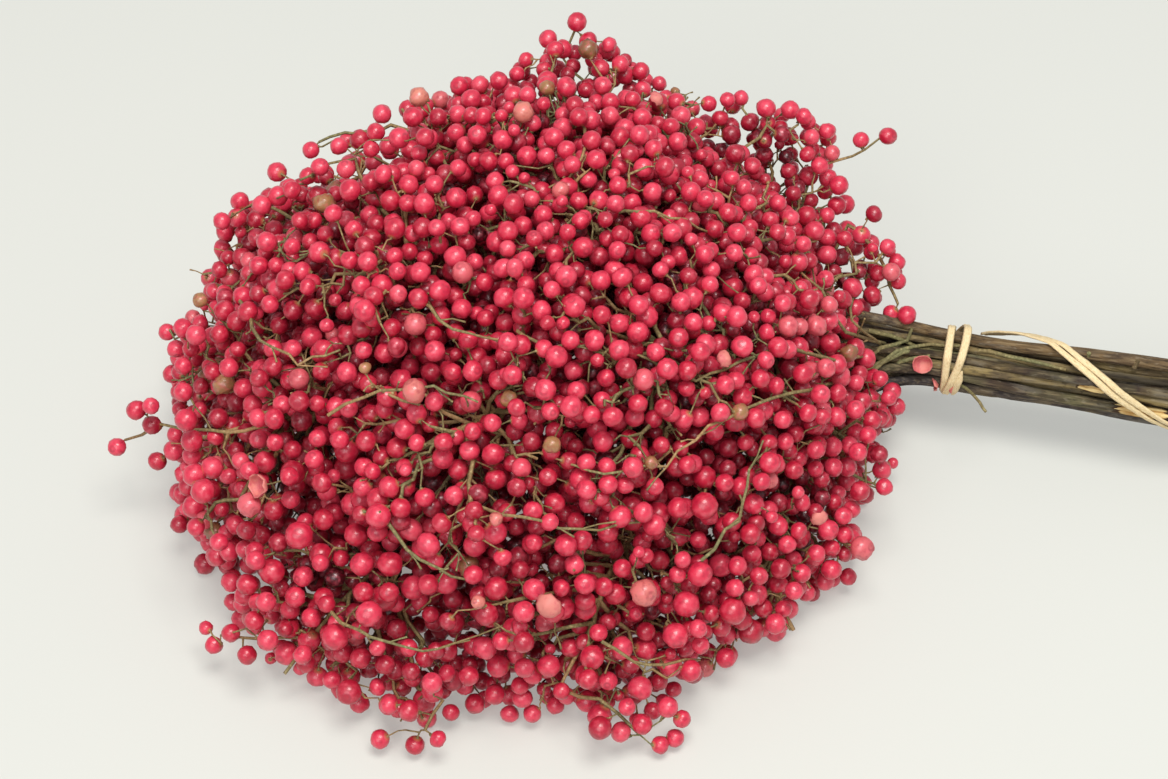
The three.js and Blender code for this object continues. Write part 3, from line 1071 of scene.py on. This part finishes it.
def build_stems():
    for route in routes:
        i = route.number
        stations = STEM_PATHS[i]
        limbs = Limbs(f"bark_{i:02d}", 4)
        limbs.add([point for point, radius in stations], [radius for point, radius in stations])
        bm = limbs.bmesh()
        tone, cut, crevice = (bm.verts.layers.float.new(name) for name in ("tone", "cut", "crevice"))
        knots = [chance.uniform(NECK.x - 12, NECK.x + 115) for k in range(5)]
        shade = draw(i, 21)
        place = 0
        for vert in bm.verts:
            while place + 1 < len(stations) and (
                (stations[place + 1][0] - vert.co).length < (stations[place][0] - vert.co).length
            ):
                place += 1
            out = vert.co - stations[place][0]
            out.x *= 0.2
            out.normalize()
            around = Vector((vert.co.x * 0.07, out.y * 2.2, out.z * 2.2 + i * 7))
            ridge = noise.noise(around) + 0.5 * noise.noise(around * 2.3) + 0.3 * noise.noise(around * 5.1)
            swell = sum(math.exp(-(((vert.co.x - knot) / 1.9) ** 2)) * max(out.dot(
                Vector((0, math.sin(knot * 9), math.cos(knot * 9)))), 0) ** 2 for knot in knots)
            vert[tone] = min(max(0.95 * shade + 0.02 + 0.14 * ridge, 0), 1)
            vert[crevice] = crevice_at(vert.co, i, place)
            if vert.co.x > NECK.x + route.cut - 0.3:
                vert[cut], vert[crevice] = 1, 0
            else:
                vert.co += out * (0.4 * ridge + 0.9 * swell) * stations[place][1] * 0.5
        show(f"bark_{i:02d}", bm, BARK_SKIN, "stem_bark", f"stem_{i:02d}")


build_stems()


# The raffia: two turns of the tie and a doubled strand that winds on down the stems.

THICKNESS = 0.8
LOOPS = [(0.4, -0.2, 0), (2.7, 2.4, 0.7)]
LOOP_WIDTH = 2.5
STRAND_WIDTH, STRAND_APART, STRAND_FROM, STRAND_TO = 2.1, 2.0, 10, 100
STRAND_START, STRAND_TURNS = 0.2, 0.87


def taut_radius(angle, along):
    """From the bundle's middle to its taut outline, at an angle from +Y to +Z."""
    twist = BUNDLE_TWIST * along / STEM_LENGTH
    least = 1e9
    for k in range(-16, 17):
        normal = angle + k * math.pi / 36
        held = max(
            disc.y * math.cos(normal - twist) + disc.z * math.sin(normal - twist) + radius
            for disc, radius in (route.disc for route in routes)
        )
        least = min(least, held / math.cos(normal - angle))
    return least * (1 + BUNDLE_FLARE * along / STEM_LENGTH)


def raffia_point(angle, along, lift):
    out = taut_radius(angle, along) / math.cos(math.pi / 20) + 0.9 + THICKNESS / 2 + lift
    return NECK + Vector((along, out * math.cos(angle), out * math.sin(angle)))


SECTION = [(-1, 0), (-0.55, 0.5), (0, 0.34), (0.55, 0.5), (1, 0), (0.5, -0.5), (-0.5, -0.5)]
SIDES = len(SECTION)


def across_ribbon(points, k, width, closed):
    """The places of a ribbon's creased section at a point, narrower towards a loose end."""
    count = len(points)
    point = points[k]
    before = points[(k - 1) % count] if closed or k else point
    after = points[(k + 1) % count] if closed or k < count - 1 else point
    tangent = (after - before).normalized()
    out = Vector((0, point.y - NECK.y, point.z - NECK.z))
    out = (out - tangent * out.dot(tangent)).normalized()
    across = out.cross(tangent)
    half = width / 2 * (1 + 0.1 * noise.noise(point * 0.2))
    if not closed:
        half *= min(1, 0.25 + min(k, count - 1 - k) / 4)
    lift = 0.08 * noise.noise(point * 0.9)
    return [point + across * w * half + out * (t * THICKNESS + lift) for w, t in SECTION]


def ribbon(bm, points, width, closed=False):
    """A ribbon of raffia: its section extruded from point to point, with fibres along it."""
    part = bmesh.new()
    side, station = part.verts.layers.int.new("side"), part.verts.layers.int.new("station")
    ring = [part.verts.new(place) for place in across_ribbon(points, 0, width, closed)]
    for s, vert in enumerate(ring):
        vert[side] = s
    first = edges = [part.edges.new((ring[s - 1], ring[s])) for s in range(SIDES)]
    for k in range(1, len(points)):
        made = bmesh.ops.extrude_edge_only(part, edges=edges)["geom"]
        places = across_ribbon(points, k, width, closed)
        for vert in made:
            if isinstance(vert, bmesh.types.BMVert):
                vert.co, vert[station] = places[vert[side]], k
        edges = [edge for edge in made if isinstance(edge, bmesh.types.BMEdge)]
    if closed:
        bmesh.ops.bridge_loops(part, edges=first + edges)
    else:
        bmesh.ops.contextual_create(part, geom=first)
        bmesh.ops.contextual_create(part, geom=edges)
    bmesh.ops.recalc_face_normals(part, faces=part.faces)
    fibres = part.loops.layers.uv.new("fibres")
    for face in part.faces:
        last_side = max(vert[side] for vert in face.verts)
        last_station = max(vert[station] for vert in face.verts)
        for loop in face.loops:
            s, k = loop.vert[side], loop.vert[station]
            s += SIDES if s == 0 and last_side == SIDES - 1 else 0
            k += len(points) if k == 0 and last_station == len(points) - 1 else 0
            loop[fibres].uv = (s / SIDES, k * 0.5)
    mesh = bpy.data.meshes.new("ribbon")
    part.to_mesh(mesh)
    part.free()
    bm.from_mesh(mesh)
    bpy.data.meshes.remove(mesh)


# Thin twigs that lie over the bundle: the places of the picture that they pass.
BUNDLE_TWIGS = [
    ([(846, 384), (874, 366), (902, 352), (938, 348), (990, 352), (1030, 360), (1066, 370)], 1.0, 0.5),
    ([(850, 376), (880, 348), (908, 340), (912, 328)], 0.8, 0.45),
    ([(856, 392), (882, 378), (900, 362), (930, 356)], 0.9, 0.6),
    ([(850, 400), (872, 372), (896, 350), (930, 344), (960, 346)], 0.8, 0.5),
    ([(952, 380), (966, 388), (980, 402), (986, 412)], 0.6, 0.45),
    ([(1086, 362), (1089, 353)], 0.9, 0.6),
    ([(1134, 368), (1138, 360)], 0.9, 0.6),
    ([(868, 330), (890, 336), (915, 346)], 0.8, 0.5),
]


def build_bundle_twigs():
    limbs = Limbs("bundle_twigs", 1)
    for places, first, last in BUNDLE_TWIGS:
        points = [on_bundle(across, down) + BACK * 0.1 for across, down in places]
        count = len(points) - 1
        fine = [points[k].lerp(points[k + 1], share) + wander(0.25)
                for k in range(count) for share in (0, 0.5)] + [points[-1]]
        limbs.add(fine, [first + (last - first) * k / len(fine) for k in range(len(fine))])
    bm = limbs.bmesh()
    age = bm.verts.layers.float.new("age")
    for vert in bm.verts:
        on_stems = vert.co.x > NECK.x + 45
        vert[age] = 0.8 if on_stems else 0.08 + 0.4 * noise.noise(vert.co * 0.08)
    show("bundle_twigs", bm, TWIG_SKIN, "twig")


build_bundle_twigs()


def build_raffia():
    bm = bmesh.new()
    bm.loops.layers.uv.new("fibres")
    for place, tilt, lift in LOOPS:
        ring = []
        for k in range(64):
            angle = 2 * math.pi * k / 64
            ring.append(raffia_point(angle, place + tilt * math.sin(angle), lift))
        ribbon(bm, ring, LOOP_WIDTH, True)
    tail = [raffia_point(2.75 + 0.1 * k, 5.2 - 0.16 * k, 0.5) for k in range(13)]
    ribbon(bm, tail, LOOP_WIDTH)
    for way in (-1, 1):
        strand = []
        for k in range(81):
            share = k / 80
            apart = way * STRAND_APART * min(1, 0.3 + 8 * share) * (1 - 0.25 * math.sin(7 * share + way))
            along = STRAND_FROM + share * (STRAND_TO - STRAND_FROM) + apart
            strand.append(raffia_point(
                STRAND_START + share * STRAND_TURNS * 2 * math.pi, along, 0.45 * (1 - share)
            ))
        ribbon(bm, strand, STRAND_WIDTH)
    show("raffia_strands", bm, RAFFIA_SKIN, "raffia", "raffia_tie")


build_raffia()


# Empty berry skins.


def add_skin(bm, at, facing, radius, keep, torn):
    """A piece of empty berry skin: a cap of a ball, torn at its edge and as thin as paper."""
    part = bmesh.new()
    bmesh.ops.create_uvsphere(part, u_segments=14, v_segments=12, radius=radius)
    everything = part.verts[:] + part.edges[:] + part.faces[:]
    bmesh.ops.bisect_plane(
        part, geom=everything, plane_co=(0, 0, radius * (1 - 2 * keep)), plane_no=(0, 0, -1),
        clear_outer=True,
    )
    for vert in part.verts:
        low = vert.co.z < radius * (1 - 2 * keep) + 0.6
        vert.co.z += torn * noise.noise(vert.co * 0.9) * (1 if low else 0.3)
        vert.co *= 1 + 0.1 * noise.noise(vert.co * 0.5 + at)
    bmesh.ops.solidify(part, geom=part.faces[:], thickness=0.22)
    part.transform(Matrix.Translation(at) @ facing.to_track_quat("Z", "Y").to_matrix().to_4x4())
    ripeness = part.verts.layers.float.new("ripeness")
    for vert in part.verts:
        vert[ripeness] = 0.5 + 0.5 * noise.noise(vert.co * 0.3)
        vert.co.z = max(vert.co.z, 0.05)
    mesh = bpy.data.meshes.new("skin")
    part.to_mesh(mesh)
    part.free()
    bm.from_mesh(mesh)
    bpy.data.meshes.remove(mesh)


def build_skins():
    bm = bmesh.new()
    bm.verts.layers.float.new("ripeness")
    add_skin(bm, on_bundle(921, 366) + BACK * 3.9, UP * 0.5 - BACK, 3.3, 0.36, 0.3)
    add_skin(bm, on_bundle(930, 386) + BACK * 0.9, RIGHT + UP * 0.4, 2.4, 0.3, 1.4)
    add_skin(bm, on_bundle(955, 390) + BACK * 0.9, UP - RIGHT, 2.0, 0.3, 1.4)
    for across, down, radius, keep in (
        (550, 604, 3.8, 0.45), (255, 486, 3.4, 0.45), (722, 360, 2.6, 0.35),
        (655, 100, 2.4, 0.4), (818, 515, 2.8, 0.35),
    ):
        at = in_picture(across, down, 0.02)
        add_skin(bm, at, (wander(1) + BACK * 0.6).normalized(), radius, keep, 1.2)
    show("empty_skins", bm, SHELL_SKIN, "berry")


build_skins()


# The table, the light and the view.


def build_table():
    bm = bmesh.new()
    bmesh.ops.create_grid(bm, x_segments=1, y_segments=1, size=3)
    mesh = bpy.data.meshes.new("table_top")
    bm.to_mesh(mesh)
    bm.free()
    top = bpy.data.objects.new("table_top", mesh)
    top.location.z = -0.0004
    bpy.context.scene.collection.objects.link(top)
    paper = Finish("table_white", Specular_IOR_Level=0.2)
    weave = paper.grain(900, 3.0)
    colour = paper.blend(paper.grain(3.0, 2.0), paint(168, 169, 163), paint(172, 171, 164))
    paper.skin.inputs["Emission Color"].default_value = (0.98, 1, 0.95, 1)
    paper.skin.inputs["Emission Strength"].default_value = 0.285
    mesh.materials.append(paper.finish(colour, 0.7, weave, 0.05, 0.0002))


def lamp(name, place, size, power, colour=(1, 1, 1)):
    light = bpy.data.lights.new(name, "AREA")
    light.shape = "RECTANGLE"
    light.size, light.size_y = size
    light.energy = power
    light.color = colour
    holder = bpy.data.objects.new(name, light)
    bpy.context.scene.collection.objects.link(holder)
    holder.location = place
    aim = Vector((-0.04, 0, 0.04)) - Vector(place)
    holder.rotation_euler = aim.to_track_quat("-Z", "Y").to_euler()


def build_light():
    world = bpy.data.worlds.new("room")
    bpy.context.scene.world = world
    world.use_nodes = True
    sky = world.node_tree.nodes["Background"]
    sky.inputs["Color"].default_value = (0.93, 0.96, 1.0, 1)
    sky.inputs["Strength"].default_value = 0.5
    lamp("window_light", (0.12, -0.3, 1.25), (0.6, 0.5), 14, (1, 0.99, 0.96))
    lamp("fill_light", (-0.4, -2.4, 2.0), (2.0, 1.7), 38)


def build_view():
    data = bpy.data.cameras.new("view")
    data.sensor_width = 36
    data.lens = FOCUS * 36 / PICTURE[0]
    data.clip_start, data.clip_end = 0.01, 20
    camera = bpy.data.objects.new("view", data)
    bpy.context.scene.collection.objects.link(camera)
    camera.location = EYE * MM
    camera.rotation_euler = Matrix((RIGHT, UP, BACK)).transposed().to_euler()
    bpy.context.scene.camera = camera


build_table()
build_light()
build_view()
bpy.context.scene.view_settings.view_transform = "Standard"
